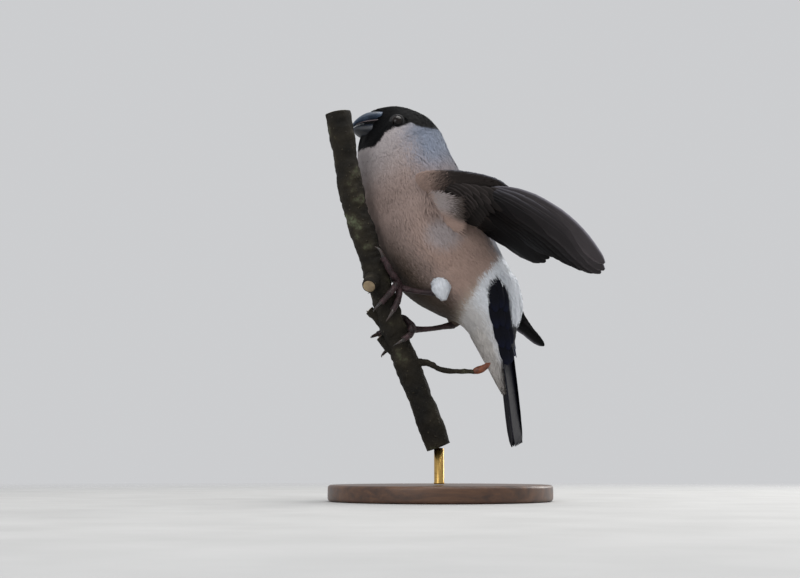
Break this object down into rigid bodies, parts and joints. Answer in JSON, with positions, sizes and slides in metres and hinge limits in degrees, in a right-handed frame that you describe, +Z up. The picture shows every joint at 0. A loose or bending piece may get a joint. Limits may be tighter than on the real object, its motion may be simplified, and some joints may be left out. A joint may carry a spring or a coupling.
{
  "type": "perched bullfinch display model",
  "caption": "Life-size female bullfinch gripping a short upright stem, near wing half open, far wing folded, on a round display base with a rod.",
  "frame": {"origin": "centre of the underside of the display base", "axes": "+Z up; the bill points towards -X; the bird's left side, with the open wing, faces -Y"},
  "size_m": [0.0976, 0.0972, 0.1518],
  "materials": {
    "head_feathers": "glossy black cap feathers",
    "back_feathers": "soft bluish grey contour feathers",
    "breast_feathers": "soft grey-brown contour feathers with a pinkish tint",
    "tail_feathers": "blue-black flight feathers",
    "wing_feathers": "blackish brown flight feathers, paler coverts",
    "white_feathers": "downy white feathers",
    "bill_horn": "smooth dark horn",
    "eye": "wet black",
    "leg_skin": "scaled dark brown skin",
    "claw_horn": "dark horn with paler tips",
    "bark": "rough olive-brown bark with grey-green lichen",
    "base_wood": "satin dark stained wood",
    "rod_brass": "brushed brass"
  },
  "bodies": {
    "root": {"head": "head_feathers", "neck": "back_feathers", "torso": "breast_feathers", "tail": "tail_feathers", "wing_left": "wing_feathers", "wing_right": "wing_feathers", "bill_upper": "bill_horn", "bill_lower": "bill_horn", "eye_left": "eye", "eye_right": "eye", "thigh_left": "white_feathers", "tarsus_left": "leg_skin", "foot_left": "leg_skin", "claw_left_toe_up": "claw_horn", "claw_left_toe_middle": "claw_horn", "claw_left_toe_low": "claw_horn", "claw_left_toe_back": "claw_horn", "thigh_right": "white_feathers", "tarsus_right": "leg_skin", "foot_right": "leg_skin", "claw_right_toe_up": "claw_horn", "claw_right_toe_middle": "claw_horn", "claw_right_toe_low": "claw_horn", "claw_right_toe_back": "claw_horn", "perch": "bark", "stand_base": "base_wood", "stand_rod": "rod_brass"}
  },
  "joints": []
}
